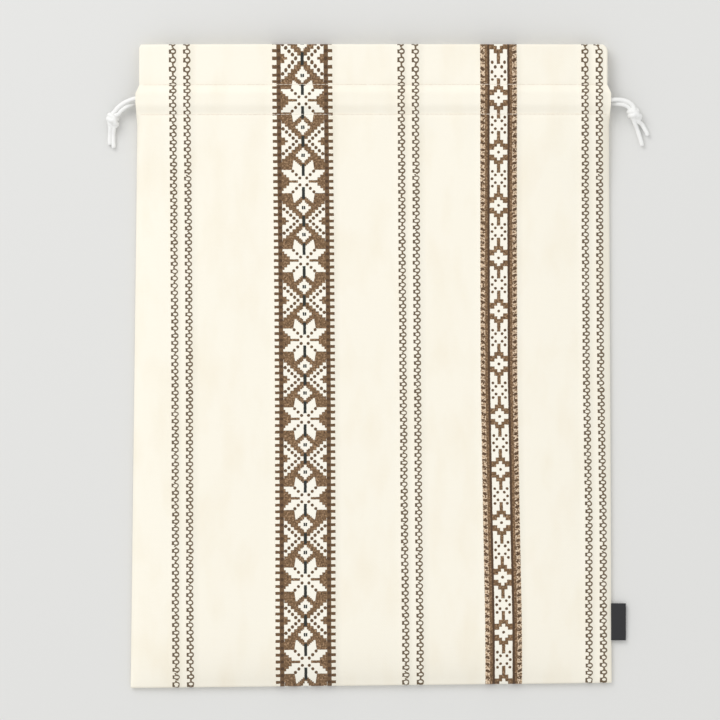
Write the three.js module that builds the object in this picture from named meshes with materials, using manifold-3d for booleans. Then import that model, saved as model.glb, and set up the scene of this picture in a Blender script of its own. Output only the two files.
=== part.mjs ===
// Kinchaku drawstring pouch, lying flat with its mouth a little open. Millimetres, +Z up, mouth towards +Y.
// The origin is the middle of the underside of the cloth and its side tag.
import * as THREE from "three";
import { mergeVertices } from "three/addons/utils/BufferGeometryUtils.js";
import Module from "manifold-3d";

const wasm = await Module();
wasm.setup();
const { Manifold } = wasm;

// Body of the pouch
const HEIGHT = 400; // bottom fold to top fold
const BOTTOM_WIDTH = 298.7;
const NECK_WIDTH = 292.8; // just under the cord slits
const EXIT_WIDTH = 295.6; // at the cord slits, where the turned cords push the edges out
const HEADER_WIDTH = 290.6; // above the cord casing
const LEAN = 1.4; // the top lies this much further right than the bottom
const BOTTOM_RISE = 3.2; // the right bottom corner lies this much higher than the left one
const CLOTH = 0.65; // one layer
const SEAM = 2.8; // side seam and bottom fold, four layers pressed together
const RIM = 5; // height that the front reaches close to the side seams
const CROWN = 8.2; // what the slack middle adds to it
const RIM_SPREAD = 4; // how far in from a side seam the front rises
const FOLD_SPREAD = 14; // how far up from the bottom fold the front rises

// Header and cord casing, turned in at the top of both panels
const HEADER = 25.1; // top fold to upper stitch line
const CASING = 18.6; // upper to lower stitch line
const HEM = 3.2; // turned edge under the lower stitch line
const HEADER_ROOM = 0.5; // slack between the two layers of the header
const SLIT_INSET = 7; // the turned-in layer stops this far from the side edges
const MOUTH = 5.4; // opening at the middle of the mouth
const MOUTH_EDGE = 0.4; // the same at the side edges
const MOUTH_DROP = 0.3; // the front sinks this much from casing to top fold
const PUCKER = 0.3; // soft waves that the stitching draws in the front
const PUCKER_PITCH = 27;

// Cords
const CORD = 2.7;
const CLEARANCE = 0.32; // between touching pieces
const CORD_PITCH = CORD + 0.4; // the two cords lie side by side in each casing
const CORD_ABOVE = 6.9; // lower stitch line to the lower cord
const TURN_INSET = 3.4; // a cord turns back this far inside the far side edge
const KNOT = { across: 10.2, along: 12.2, thick: 8.5 };

// Side tag
const TAG_LENGTH = 23;
const TAG_REACH = 9.4; // how far it stands out of the seam
const TAG_ROOT = 7; // how far it goes into the seam
const TAG_LAYER = 0.35;
const TAG_HEIGHT = 38; // middle of the tag above the bottom fold

// Woven bands, across the pouch at half its height, measured from its middle
const WEAVE = 0.25; // how far a woven band stands proud of the plain cloth
const SLANT = 2.7; // the bands drift right by this much from top to bottom
const CHAIN_WIDTH = 4.5;
const CHAIN_SPACING = 8.9;
const CHAIN_PAIRS = [-119.3, 22.7, 137.6]; // middle of each pair of chain stripes
const STAR_BAND = { middle: -42.5, width: 37.6, cell: 2.16, repeat: 49.85, first: 16.5 };
const SMALL_BAND = { middle: 80, width: 22.6, cell: 1.55, repeat: 34.15, first: 0.95 };

// Colours
const CREAM = new THREE.Color("#f6efe0");
const BROWN = new THREE.Color("#8a6c50");
const OLIVE = new THREE.Color("#55503c");
const CORD_WHITE = new THREE.Color("#fbf9f3");
const TAG_BLACK = new THREE.Color("#17171a");

// Levels up the pouch
const UPPER_STITCH = HEIGHT - HEADER;
const LOWER_STITCH = UPPER_STITCH - CASING;
const HEM_EDGE = LOWER_STITCH - HEM;
const NECK = LOWER_STITCH - 6;
const CASING_ROOM = CORD + 2 * CLEARANCE;
const LEFT_CORD_ROW = LOWER_STITCH + CORD_ABOVE + CORD / 2 + CORD_PITCH;
const RIGHT_CORD_ROW = LEFT_CORD_ROW - CORD_PITCH;
const ROOM_LOW = RIGHT_CORD_ROW - CORD / 2 - CLEARANCE;
const ROOM_HIGH = LEFT_CORD_ROW + CORD / 2 + CLEARANCE;
const PAST = 20; // how far a cutting body runs past what it cuts

const { lerp, smoothstep, clamp } = THREE.MathUtils;

// A value that changes in straight runs between [height, value] stops.
function between(y, stops) {
  for (let i = 1; i < stops.length; i += 1) {
    const [low, a] = stops[i - 1];
    const [high, b] = stops[i];
    if (y <= high) return lerp(a, b, clamp((y - low) / (high - low), 0, 1));
  }
  return stops[stops.length - 1][1];
}

const halfWidth = (y) =>
  0.5 *
  between(y, [
    [0, BOTTOM_WIDTH],
    [NECK, NECK_WIDTH],
    [LOWER_STITCH, (NECK_WIDTH + EXIT_WIDTH) / 2],
    [ROOM_LOW, EXIT_WIDTH],
    [ROOM_HIGH, EXIT_WIDTH],
    [UPPER_STITCH, HEADER_WIDTH],
    [HEIGHT, HEADER_WIDTH],
  ]);
const middle = (y) => LEAN * (y / HEIGHT - 0.5);
const edgeX = (side, y) => middle(y) + side * halfWidth(y);
const bandX = (x, y) => x + SLANT * (0.5 - y / HEIGHT);
const across = (x, y) => clamp((x - middle(y)) / halfWidth(y), -1, 1);
// A level on the cloth to where it lies: the bottom edge runs slightly uphill to the right.
const lieY = (x, y) => y + BOTTOM_RISE * (1 + across(x, y)) * 0.5 * (1 - y / HEIGHT);

// How full the casing is at a level: nothing at its stitch lines, full where the cords lie.
const fullness = (y) =>
  between(y, [
    [LOWER_STITCH + 0.4, 0],
    [ROOM_LOW, 1],
    [ROOM_HIGH, 1],
    [UPPER_STITCH - 0.4, 0],
  ]);
const headerRoom = (y) =>
  HEADER_ROOM *
  between(y, [
    [UPPER_STITCH + 0.6, 0],
    [UPPER_STITCH + 4, 1],
    [HEIGHT - CLOTH, 1],
  ]);

// Heights above the underside of the plain cloth of the back panel
const backInside = (y) =>
  CLOTH + (y > HEM_EDGE ? CLOTH : 0) + CASING_ROOM * fullness(y) + headerRoom(y);
const mouthGap = (x, y) => lerp(MOUTH, MOUTH_EDGE, across(x, y) ** 4);
// The front panel's outer side where no cord lifts it
function flapSkin(x, y) {
  const casing = 2 * CLOTH + CASING_ROOM + mouthGap(x, y) + CASING_ROOM / 2 + 2 * CLOTH;
  return casing - MOUTH_DROP * smoothstep(y, UPPER_STITCH - CASING / 2, HEIGHT);
}
function bodySkin(x, y) {
  const fromSide = halfWidth(y) * (1 - Math.abs(across(x, y)));
  const rise = (RIM - SEAM) * (1 - Math.exp(-fromSide / RIM_SPREAD)) + CROWN * (1 - across(x, y) ** 4);
  return SEAM + rise * (1 - Math.exp(-y / FOLD_SPREAD));
}
function skin(x, y) {
  const near = smoothstep(y, LOWER_STITCH - 3 * CASING, LOWER_STITCH);
  return lerp(bodySkin(x, y), flapSkin(x, y), near);
}
const frontOutside = (x, y) => skin(x, y) + (CASING_ROOM / 2) * fullness(y);
const frontInside = (x, y) =>
  skin(x, y) - CLOTH - (y > HEM_EDGE ? CLOTH : 0) - (CASING_ROOM / 2) * fullness(y) - headerRoom(y);
function pucker(x, y) {
  const upper = Math.exp(-(((y - UPPER_STITCH) / 7) ** 2));
  const lower = Math.exp(-(((y - LOWER_STITCH + 8) / 12) ** 2));
  return PUCKER * (upper * Math.sin((2 * Math.PI * x) / PUCKER_PITCH) + lower * Math.cos((2 * Math.PI * x) / PUCKER_PITCH));
}

// A closed body from rows and columns of places: lower and upper height at each.
function slab(columns, rows, place) {
  const geometry = new THREE.BoxGeometry(1, 1, 1, columns.length - 1, rows.length - 1, 1);
  const position = geometry.getAttribute("position");
  for (let i = 0; i < position.count; i += 1) {
    const column = columns[Math.round((position.getX(i) + 0.5) * (columns.length - 1))];
    const y = rows[Math.round((position.getY(i) + 0.5) * (rows.length - 1))];
    const [x, low, high, level = y] = place(column, y);
    position.setXYZ(i, x, lieY(x, level), position.getZ(i) < 0 ? low : high);
  }
  return solid(geometry);
}

// A closed three.js geometry as a solid that can be joined and cut
function solid(geometry) {
  const bare = geometry.clone();
  for (const name of Object.keys(bare.attributes)) if (name !== "position") bare.deleteAttribute(name);
  const merged = mergeVertices(bare, 1e-5);
  return new Manifold(
    new wasm.Mesh({ numProp: 3, vertProperties: merged.attributes.position.array, triVerts: Uint32Array.from(merged.index.array) }),
  );
}

// A solid back as a geometry with flat faces, each in the colour that paint gives its middle
function geometryOf(body, paint) {
  const mesh = body.getMesh();
  const indexed = new THREE.BufferGeometry();
  indexed.setAttribute("position", new THREE.BufferAttribute(Float32Array.from(mesh.vertProperties), 3));
  indexed.setIndex([...mesh.triVerts]);
  const geometry = indexed.toNonIndexed();
  geometry.computeVertexNormals();
  if (!paint) return geometry;
  const position = geometry.getAttribute("position");
  const colours = new Float32Array(position.count * 3);
  const corner = new THREE.Vector3();
  for (let i = 0; i < position.count; i += 3) {
    const centre = new THREE.Vector3();
    for (let k = 0; k < 3; k += 1) centre.addScaledVector(corner.fromBufferAttribute(position, i + k), 1 / 3);
    const colour = paint(centre);
    for (let k = 0; k < 3; k += 1) colour.toArray(colours, (i + k) * 3);
  }
  geometry.setAttribute("color", new THREE.BufferAttribute(colours, 3));
  return geometry;
}

// Woven bands: [left side, right side, colour]
const bands = [
  ...CHAIN_PAIRS.flatMap((pair) => [pair - CHAIN_SPACING / 2, pair + CHAIN_SPACING / 2]).map((x) => ({
    left: x - CHAIN_WIDTH / 2,
    right: x + CHAIN_WIDTH / 2,
    colour: OLIVE,
  })),
  ...[STAR_BAND, SMALL_BAND].map((band) => ({
    left: band.middle - band.width / 2,
    right: band.middle + band.width / 2,
    colour: BROWN,
  })),
].sort((a, b) => a.left - b.left);

// Columns of the outer body: rounded side edges, both sides of every band, and the plain cloth between.
// The last band runs close to the right side edge, which leaves room for fewer columns there.
const LEFT_INSETS = [0, 1.2, 4];
const RIGHT_INSETS = [1.2, 0];
const BAND_STEP = 0.3; // width of the step at a band's side
const WIDEST_COLUMN = 19;
function outerColumns() {
  const marks = bands.flatMap(({ left, right }) => {
    const step = Math.min(BAND_STEP, (right - left) / 2);
    const crest = right - left > 2 * CHAIN_WIDTH ? [left + step, right - step] : [(left + right) / 2];
    return [{ x: left, proud: 0 }, ...crest.map((x) => ({ x, proud: 1 })), { x: right, proud: 0 }];
  });
  const first = { x: marks[0].x - WIDEST_COLUMN / 2, proud: 0 };
  const all = [first];
  for (const mark of marks) {
    const last = all[all.length - 1];
    const count = Math.ceil((mark.x - last.x) / WIDEST_COLUMN);
    for (let i = 1; i < count; i += 1)
      all.push({ x: lerp(last.x, mark.x, i / count), proud: Math.min(last.proud, mark.proud) });
    all.push(mark);
  }
  const edge = (side, insets) => insets.map((inset) => ({ side, inset, proud: 0 }));
  return [...edge(-1, LEFT_INSETS), ...all, ...edge(1, RIGHT_INSETS)];
}

// Rows of the outer body: rounded bottom fold, body, casing between its stitch lines, header, rounded top fold
const FOLD_TURNS = [25, 58, 90].map((angle) => THREE.MathUtils.degToRad(angle));
const foldRow = (turn) => (SEAM / 2) * (1 - Math.cos(turn));
const BODY_ROWS = [6, 11, 16, 24, 34, 50, 80, 140, 220, HEM_EDGE - 45, HEM_EDGE - 20, HEM_EDGE - 6];
const outerRows = [
  ...FOLD_TURNS.map(foldRow),
  ...BODY_ROWS,
  LOWER_STITCH, ROOM_LOW, ROOM_HIGH, UPPER_STITCH - CASING / 4, UPPER_STITCH,
  UPPER_STITCH + 5, HEIGHT - CLOTH, HEIGHT,
];

function outerBody() {
  return slab(outerColumns(), outerRows, (column, y) => {
    const x = column.side ? edgeX(column.side, y) - column.side * column.inset : bandX(column.x, y);
    const proud = WEAVE * column.proud;
    let low = WEAVE - proud;
    let high = WEAVE + frontOutside(x, y) + proud + pucker(x, y) * (column.side ? 0.5 : 1);
    const round = SEAM / 2 - Math.sqrt(Math.max(0, (SEAM / 2) ** 2 - Math.max(0, SEAM / 2 - y) ** 2));
    low += y < SEAM / 2 ? round : 0;
    high -= y < SEAM / 2 ? round : 0;
    if (column.side && column.inset === 0) {
      const seam = 1 - smoothstep(y, NECK - 3 * CASING, LOWER_STITCH);
      low += 0.35 * SEAM * seam;
      high -= 0.35 * SEAM * seam;
    }
    if (y === HEIGHT) {
      low += CLOTH * 0.6;
      high -= CLOTH * 0.6;
    }
    return [x, low, high];
  });
}

// Hollows. Cuts that meet run past each other, so none of their faces lie in one plane.
const sweep = (count, from, to) => Array.from({ length: count + 1 }, (_, i) => lerp(from, to, i / count));
const SIDE_WALL = 2 * CLOTH;
const OVERCUT = 0.1;
function bodyHollow() {
  const rows = [SIDE_WALL, ...BODY_ROWS, HEM_EDGE];
  const columns = [-1, -0.985, -0.95, ...sweep(10, -0.86, 0.86), 0.95, 0.985, 1];
  return slab(columns, rows, (s, y) => {
    const x = middle(y) + s * (halfWidth(y) - SIDE_WALL);
    return [x, WEAVE + CLOTH, WEAVE + Math.max(skin(x, y) - CLOTH, CLOTH + 0.4)];
  });
}

// Between the turned-in layers: closed at the sides under the slits, open above them, and open at the top
function mouthHollow() {
  const rows = [
    HEM_EDGE - 1, LOWER_STITCH - OVERCUT, LOWER_STITCH + OVERCUT, ROOM_LOW, ROOM_HIGH, UPPER_STITCH - 0.8,
    UPPER_STITCH + 5, HEIGHT - CLOTH, HEIGHT + OVERCUT, HEIGHT + PAST,
  ];
  return slab([-1, ...sweep(12, -0.93, 0.93), 1], rows, (s, y) => {
    const closed = y < LOWER_STITCH;
    const end = closed ? halfWidth(y) - SIDE_WALL - 0.8 : halfWidth(HEIGHT) + PAST;
    const x = middle(y) + s * (Math.abs(s) === 1 ? end : halfWidth(y));
    const level = clamp(y, HEM_EDGE + OVERCUT, HEIGHT);
    const flare = y > HEIGHT ? CLOTH * 0.6 : 0;
    return [x, WEAVE + backInside(level) - flare, WEAVE + frontInside(x, level) + flare, y];
  });
}

// A channel right across the pouch between two layers of one panel. room is its height at a level.
function channel(rows, floor, room) {
  return slab(sweep(14, -1, 1), rows, (s, y) => {
    const x = middle(y) + s * (halfWidth(y) + PAST);
    const low = WEAVE + floor(x, y);
    return [x, low, low + Math.max(room(y), 0.12)];
  });
}
const casingRoom = (y) => CASING_ROOM * fullness(y);
const casingRows = [LOWER_STITCH + 0.4, ROOM_LOW, ROOM_HIGH, UPPER_STITCH - 0.4];
const headerRows = [UPPER_STITCH + 0.6, UPPER_STITCH + 4, HEIGHT - 2 * CLOTH];
function channels() {
  const backFloor = () => CLOTH;
  const frontFloor = (x, y) => frontOutside(x, y) - CLOTH - casingRoom(y) - headerRoom(y);
  return [backFloor, frontFloor].flatMap((floor) => [
    channel(casingRows, floor, casingRoom),
    channel(headerRows, floor, headerRoom),
  ]);
}

// At each end of the casing the turned-in layers stop short, which leaves the slit for the cords.
function slitEnd(side) {
  const rows = [LOWER_STITCH + 0.5, ROOM_LOW + 0.2, ROOM_HIGH - 0.2, UPPER_STITCH - 1];
  return slab([0, 1], rows, (k, y) => {
    const inner = edgeX(side, y) - side * SLIT_INSET;
    const x = k === (side > 0 ? 0 : 1) ? inner : inner + side * (SLIT_INSET + PAST);
    const at = edgeX(side, y) - side * SLIT_INSET * 0.5;
    return [x, WEAVE + CLOTH - OVERCUT, WEAVE + frontOutside(at, y) - CLOTH + OVERCUT];
  });
}

// The tag's slot in the right side seam
const tagEdge = edgeX(1, TAG_HEIGHT);
const TAG_LEVEL = WEAVE + CLOTH + OVERCUT + CLEARANCE + 1.5 * TAG_LAYER;
function tagSlot() {
  const height = 3 * TAG_LAYER + 2 * CLEARANCE;
  const length = TAG_LENGTH + 2 * CLEARANCE;
  const reach = SIDE_WALL * 3 + 2;
  const slot = new THREE.BoxGeometry(reach, length, height);
  slot.translate(tagEdge, lieY(tagEdge, TAG_HEIGHT), TAG_LEVEL);
  return solid(slot);
}

// A low raised figure on the front: an outline in cells from its centre, on the band that carries it.
// Over the casing its faces are split, so that it bends with the cloth.
const FIGURE_SINK = 0.45;
const CASING_SPLITS = 3;
const LOWEST_FIGURE = 2;
const HIGHEST_FIGURE = HEIGHT - 1;
function figure(band, centre, reach, outline) {
  const shape = new THREE.Shape(outline.map(([u, v]) => new THREE.Vector2(u * band.cell, v * band.cell)));
  const flat = solid(new THREE.ExtrudeGeometry(shape, { depth: 1, bevelEnabled: false, steps: 1 }));
  const onCasing = centre + reach > LOWER_STITCH && centre - reach < UPPER_STITCH;
  return (onCasing ? flat.refine(CASING_SPLITS) : flat).warp((point) => {
    const y = Math.min(centre + point[1], HIGHEST_FIGURE);
    const x = bandX(band.middle + point[0], y);
    const surface = 2 * WEAVE + frontOutside(x, y) + pucker(x, y);
    [point[0], point[1], point[2]] = [x, lieY(x, y), surface + lerp(-FIGURE_SINK, WEAVE, point[2])];
  });
}
const MIRRORS = [[1, 1], [-1, 1], [-1, -1], [1, -1]];
const mirrored = (outline) => MIRRORS.map(([a, b]) => outline.map(([u, v]) => [a * u, b * v]));
const turned = (outline) => outline.map(([u, v]) => [v, u]);
const diamond = (size) => [[size, 0], [0, size], [-size, 0], [0, -size]];

// Eight-petal star with a small diamond above and below and two inward chevrons between repeats
const PETAL = [[1.3, 0.5], [4.3, 0.5], [6.5, 3.5], [3.9, 3.5]];
const STAR = [...mirrored(PETAL), ...mirrored(turned(PETAL))];
const CHEVRON = [[1.4, 0], [5.4, 4.2], [6.4, 3.6], [3.4, 0], [6.4, -3.6], [5.4, -4.2]];
const SMALL_PETAL = [[0.8, 1.2], [2.6, 2.4], [3.6, 5.4], [1.8, 4.2]];
function bandFigures() {
  const figures = [];
  const repeatUp = (band, draw) => {
    for (let y = band.first; y < HEIGHT; y += band.repeat) draw(y);
  };
  const put = (band, y, cells, outlines) => {
    const reach = cells * band.cell;
    if (y - reach < LOWEST_FIGURE || y + reach > HEIGHT) return;
    figures.push(...outlines.map((outline) => figure(band, y, reach, outline)));
  };
  repeatUp(STAR_BAND, (y) => {
    put(STAR_BAND, y, 6.5, STAR);
    put(STAR_BAND, y + 7.6 * STAR_BAND.cell, 2, [diamond(2)]);
    put(STAR_BAND, y - 7.6 * STAR_BAND.cell, 2, [diamond(2)]);
    put(STAR_BAND, y + STAR_BAND.repeat / 2, 4.2, [CHEVRON, CHEVRON.map(([u, v]) => [-u, v])]);
  });
  repeatUp(SMALL_BAND, (y) => {
    put(SMALL_BAND, y, 3.2, [diamond(3.2)]);
    put(SMALL_BAND, y + SMALL_BAND.repeat / 2, 5.4, mirrored(SMALL_PETAL));
  });
  return figures;
}

// Colour of a face of the cloth: figures are plain cloth, bands have their own, on both panels
function clothColour(centre) {
  const rise = BOTTOM_RISE * 0.5 * (1 + centre.x / halfWidth(centre.y));
  const y = (centre.y - rise) / (1 - rise / HEIGHT);
  const x = centre.x - SLANT * (0.5 - y / HEIGHT);
  const band = bands.find(({ left, right }) => x > left - 0.01 && x < right + 0.01);
  if (!band) return new THREE.Color(1, 1, 1);
  const proud = centre.z - WEAVE - frontOutside(centre.x, y) - pucker(centre.x, y);
  if (proud > 1.5 * WEAVE) return new THREE.Color(1, 1, 1);
  const onFront = proud > -0.5 * WEAVE;
  const onBack = centre.z < WEAVE;
  if (!onFront && !onBack) return new THREE.Color(1, 1, 1);
  return new THREE.Color(band.colour.r / CREAM.r, band.colour.g / CREAM.g, band.colour.b / CREAM.b);
}

function pouchCloth() {
  let body = outerBody();
  for (const figureBody of bandFigures()) body = body.add(figureBody);
  const cuts = [bodyHollow(), mouthHollow(), ...channels(), slitEnd(-1), slitEnd(1), tagSlot()];
  for (const cut of cuts) body = body.subtract(cut);
  const material = new THREE.MeshStandardMaterial({ color: CREAM, vertexColors: true, roughness: 0.92, metalness: 0 });
  return named("pouch_cloth", geometryOf(body, clothColour), material);
}

// Cords. A route's steps follow its points, so they are closest where it bends most.
class Route extends THREE.CatmullRomCurve3 {
  getUtoTmapping(u) {
    return u;
  }
}
const CORD_SIDES = 8;
function tube(points, stepsBetween) {
  const section = new THREE.Shape(
    sweep(CORD_SIDES - 1, 0, 2 * Math.PI * (1 - 1 / CORD_SIDES)).map(
      (angle) => new THREE.Vector2((CORD / 2) * Math.cos(angle), (CORD / 2) * Math.sin(angle)),
    ),
  );
  const route = new Route(points.map((p) => new THREE.Vector3(...p)), false, "centripetal");
  const steps = (points.length - 1) * stepsBetween;
  return solid(new THREE.ExtrudeGeometry(section, { steps, extrudePath: route, bevelEnabled: false }));
}

// Middle height of a casing's room
const backRun = WEAVE + CLOTH + CASING_ROOM / 2;
const frontRun = (x, row) => WEAVE + frontOutside(x, row) - CLOTH - CASING_ROOM / 2;

// Route of one cord from its knot through the front casing, round the far end and back. side is where it comes out.
function loopRoute(side, row, frontStrand, backStrand) {
  const runs = [0.93, 0.75, 0.45, 0, -0.45, -0.75, -0.93].map((s) => middle(row) + side * s * halfWidth(row));
  const far = edgeX(-side, row) + side * (CORD / 2 + TURN_INSET);
  const lie = (x) => lieY(x, row);
  const front = runs.map((x) => [x, lie(x), frontRun(x, row)]);
  const back = runs.map((x) => [x, lie(x), backRun]).reverse();
  const radius = (frontRun(far, row) - backRun) / 2;
  const turn = [60, 25, -25, -60].map((angle) => {
    const a = THREE.MathUtils.degToRad(angle);
    return [far + side * radius * (1 - Math.cos(a)), lie(far), backRun + radius * (1 + Math.sin(a))];
  });
  return [...frontStrand, ...front, ...turn, ...back, ...[...backStrand].reverse()];
}

// The knot is drawn plain, as its outer shape round the two strands.
function knotBody(centre, lean) {
  const ball = new THREE.SphereGeometry(0.5, 12, 8);
  ball.scale(KNOT.across, KNOT.along, KNOT.thick);
  ball.rotateZ(THREE.MathUtils.degToRad(lean));
  ball.translate(...centre);
  return solid(ball);
}

const FLOOR_LINE = CORD / 2; // middle of a cord that lies on the ground
function drawcord(name, { side, row, knot, knotLean, frontStrand, backStrand, tails }) {
  let body = tube(loopRoute(side, row, frontStrand, backStrand), 2).add(knotBody(knot, knotLean));
  for (const tail of tails) body = body.add(tube(tail, 2));
  return named(name, geometryOf(body), new THREE.MeshStandardMaterial({ color: CORD_WHITE, roughness: 0.85, metalness: 0 }));
}

const leftDrawcord = () =>
  drawcord("left_drawcord", {
    side: -1,
    row: LEFT_CORD_ROW,
    knot: [-161.8, 353.8, 4.3],
    knotLean: -14,
    frontStrand: [[-161.6, 355.2, 4.6], [-157.2, 361.4, 5.2], [-152, 365.6, 6.4], [-147.4, 367.1, 7.5]],
    backStrand: [[-159.2, 352.4, 3.4], [-154.4, 359.6, 2.6], [-150.6, 363.6, 2.5], [-146.8, 366.1, 2.5], [-142.2, 367.5, 2.5]],
    tails: [
      [[-162.6, 352, 3.4], [-163.2, 344.6, 1.6], [-163.9, 337.2, FLOOR_LINE]],
      [[-160.4, 352, 3.2], [-160.3, 344, 1.6], [-160.3, 335, FLOOR_LINE]],
    ],
  });

const rightDrawcord = () =>
  drawcord("right_drawcord", {
    side: 1,
    row: RIGHT_CORD_ROW,
    knot: [163.6, 358.4, 4.3],
    knotLean: 24,
    frontStrand: [[163.2, 359.6, 4.8], [160, 363.8, 5.8], [155.4, 366.2, 6.8], [150.8, 365.9, 7.4], [147, 364.9, 7.8]],
    backStrand: [[160.6, 357.8, 3.2], [158.6, 361.6, 2.6], [154.4, 363.2, 2.5], [149.6, 363.7, 2.5]],
    tails: [
      [[163.8, 354.8, 3.2], [166.8, 346.6, 1.7], [168.9, 336.8, FLOOR_LINE]],
      [[166.6, 356, 3.2], [170.6, 350.4, 1.7], [172.7, 343, FLOOR_LINE]],
    ],
  });

// Folded tag: two layers with the fold outwards, its root in the seam
function sideTag() {
  const half = 1.5 * TAG_LAYER;
  const profile = new THREE.Shape();
  profile.moveTo(-TAG_ROOT, -half);
  profile.lineTo(TAG_REACH - half, -half);
  profile.absarc(TAG_REACH - half, 0, half, -Math.PI / 2, Math.PI / 2, false);
  profile.lineTo(-TAG_ROOT, half);
  profile.lineTo(-TAG_ROOT, half - TAG_LAYER);
  profile.lineTo(TAG_REACH - half, half - TAG_LAYER);
  profile.absarc(TAG_REACH - half, 0, half - TAG_LAYER, Math.PI / 2, -Math.PI / 2, true);
  profile.lineTo(-TAG_ROOT, TAG_LAYER - half);
  const geometry = new THREE.ExtrudeGeometry(profile, { depth: TAG_LENGTH, bevelEnabled: false, curveSegments: 6 });
  geometry.translate(0, 0, -TAG_LENGTH / 2);
  geometry.rotateX(Math.PI / 2);
  const mesh = named("side_tag", geometry, new THREE.MeshStandardMaterial({ color: TAG_BLACK, roughness: 0.8, metalness: 0 }));
  mesh.position.set(tagEdge, lieY(tagEdge, TAG_HEIGHT), TAG_LEVEL);
  return mesh;
}

function named(name, geometry, material) {
  const mesh = new THREE.Mesh(geometry, material);
  mesh.name = name;
  return mesh;
}

const pouch = new THREE.Group();
pouch.add(pouchCloth(), leftDrawcord(), rightDrawcord(), sideTag());
// The origin goes to the middle of the cloth and its tag.
const leftReach = edgeX(-1, 0);
const rightReach = tagEdge + TAG_REACH;
pouch.position.set(-(leftReach + rightReach) / 2, -(foldRow(FOLD_TURNS[0]) + HEIGHT) / 2, 0);

export default pouch;
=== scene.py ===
# Kinchaku drawstring pouch: its cloth, stitching, drawcords and side tag, made around the fixed frame.
import math

import bmesh
import bpy
from bpy.props import FloatProperty, FloatVectorProperty, PointerProperty
from mathutils import Matrix, Vector, noise


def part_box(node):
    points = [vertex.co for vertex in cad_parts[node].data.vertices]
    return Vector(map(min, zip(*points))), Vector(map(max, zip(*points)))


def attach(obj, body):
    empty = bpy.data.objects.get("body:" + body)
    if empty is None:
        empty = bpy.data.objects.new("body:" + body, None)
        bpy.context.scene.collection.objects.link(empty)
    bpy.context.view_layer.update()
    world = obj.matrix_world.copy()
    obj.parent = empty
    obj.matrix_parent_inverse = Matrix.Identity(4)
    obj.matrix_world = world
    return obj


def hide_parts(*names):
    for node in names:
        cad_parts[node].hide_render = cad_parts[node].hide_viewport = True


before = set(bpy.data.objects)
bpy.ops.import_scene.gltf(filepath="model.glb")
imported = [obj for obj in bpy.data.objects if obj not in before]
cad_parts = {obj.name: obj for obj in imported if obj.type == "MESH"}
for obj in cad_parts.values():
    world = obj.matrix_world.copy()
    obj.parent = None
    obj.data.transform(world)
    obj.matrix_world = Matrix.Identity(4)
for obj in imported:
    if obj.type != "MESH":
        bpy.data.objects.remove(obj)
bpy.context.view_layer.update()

bl_info = {
    "name": "Kinchaku pouch",
    "version": (1, 0, 0),
    "blender": (4, 5, 0),
    "location": "3D View > Sidebar > Pouch",
    "description": "Makes the cloth, stitching, drawcords and side tag of a kinchaku drawstring pouch",
    "category": "Object",
}

# Sizes of the pouch in millimetres, up from its bottom fold and across from its middle
MM = 0.001
HEIGHT = 400  # bottom fold to top fold
BOTTOM_WIDTH = 298.7
NECK_WIDTH = 292.8  # just under the cord slits
EXIT_WIDTH = 295.6  # at the cord slits, where the turned cords push the edges out
HEADER_WIDTH = 290.6  # above the cord casing
LEAN = 1.4  # the top lies this much further right than the bottom
BOTTOM_RISE = 3.2  # the right bottom corner lies this much higher than the left one
CLOTH = 0.65  # one layer
WEAVE = 0.25  # how far a woven band stands proud of the plain cloth
SEAM = 2.8  # side seam and bottom fold, pressed together
CASING_SEAM = 6.8  # the same beside the casing
RIM = 5  # height that the front reaches close to the side seams
RIM_SPREAD = 4  # how far in from a side seam the front rises
CROWN = 8.2  # what the slack middle adds to it
FOLD_SPREAD = 14  # how far up from the bottom fold the front rises
CORNERS = ((1, 4.5), (-1, 2.4))  # radius of the top corner at each side
CORNER_BLEND = 3.2  # how many radii in from the edge a corner draws the header

# Header and cord casing, turned in at the top of both panels
HEADER = 25.1  # top fold to upper stitch line
CASING = 18.6  # upper to lower stitch line
HEM = 3.2  # turned edge under the lower stitch line
HEADER_ROOM = 0.5  # slack between the two layers of the header
HEADER_PRESSED = 0.6  # how far the header stays pressed above its stitch line
HEADER_SPREAD = 4  # where it has its whole slack
CASING_PRESSED = 0.4  # how far the casing stays pressed beside its stitch lines
STITCH_END = 2.5  # the stitch lines end this far from the side edges
STITCH_SHARE = 0.99  # length of a stitch as a share of its pitch
STITCH_FLAT = 0.8  # its height as a share of its thickness
STITCH_PROUD = 0.22  # how far its middle stands above the cloth, as a share of its thickness
SLIT_INSET = 7  # the turned-in layer stops this far from the side edges
HEM_INSET = 2.4  # the same at the hem
SEAM_REACH = 2.2  # how far in from a side seam the layers part
CASING_SEAM_REACH = 5  # the same beside the casing
MOUTH = 5.4  # opening at the middle of the mouth
MOUTH_EDGE = 0.4  # the same at the side edges
MOUTH_DROP = 0.3  # the front sinks this much from casing to top fold

# Soft unevenness of the cloth: how high, and how far it reaches across and up
PUCKER = 0.3
PUCKER_PITCH = 27
UPPER_PUCKER_REACH = 7
LOWER_PUCKER_REACH = 12
LOWER_PUCKER_DROP = 8
GATHER = 0.3
GATHER_REACH = 6.5
FINE_GATHER = (4.6, 14)
WIDE_GATHER = (13, 20)
STITCH_GROOVE = 0.24
GROOVE_REACH = 1.1
WIDE_SLACK = 0.55
WIDE_SLACK_SIZE = (70, 95)
SMALL_SLACK = 0.16
SMALL_SLACK_SIZE = (22, 34)
SLACK_FOLD_REACH = 9
CALM = 0.85  # share of the slack that the stitched top holds flat
CALM_START = 20  # how far under the hem this begins

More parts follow.
